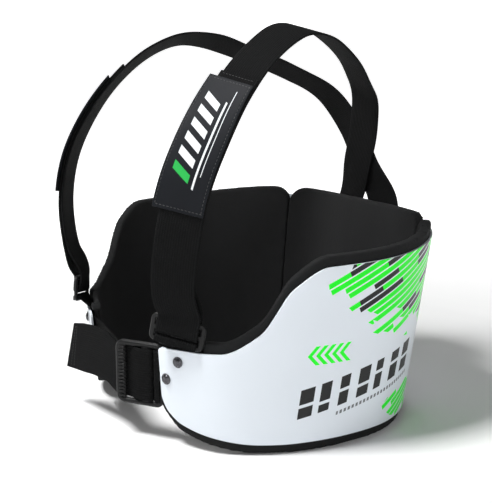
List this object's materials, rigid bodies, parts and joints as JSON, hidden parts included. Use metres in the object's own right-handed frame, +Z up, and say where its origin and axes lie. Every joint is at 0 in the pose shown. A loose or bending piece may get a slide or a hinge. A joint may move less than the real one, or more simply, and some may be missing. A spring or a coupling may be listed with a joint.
{
  "type": "rib protector",
  "caption": "Worn rib protector: stiff white shell open at the front, black foam lining, buckled belt and webbing shoulder straps that cross at the back.",
  "frame": {"origin": "on the floor, under the middle of the part's box", "axes": "+Z up, the wearer faces -Y, the wearer's left is +X"},
  "size_m": [0.3638, 0.33, 0.3812],
  "materials": {
    "shell": "smooth gloss, cool white",
    "foam": "matte closed-cell foam",
    "webbing": "fine black weave",
    "label": "matte dark grey",
    "plastic": "moulded, satin",
    "metal": "domed rivets of dark grey steel"
  },
  "bodies": {
    "root": {"shell": "shell", "lining_back": "foam", "lining_left": "foam", "lining_right": "foam", "shoulder_strap_left": "webbing", "shoulder_strap_right": "webbing", "strap_patch_left": "label", "strap_patch_right": "label", "slider_left": "plastic", "slider_right": "plastic", "slider_anchor_left": "webbing", "slider_anchor_right": "webbing", "belt_tab_left": "webbing", "belt_right": "webbing", "buckle_frame": "plastic", "shell_rivet_upper_left": "metal", "shell_rivet_upper_right": "metal", "shell_rivet_lower_left": "metal", "shell_rivet_lower_right": "metal", "strap_rivet_upper_left": "metal", "strap_rivet_upper_right": "metal", "strap_rivet_lower_left": "metal", "strap_rivet_lower_right": "metal"}
  },
  "joints": []
}
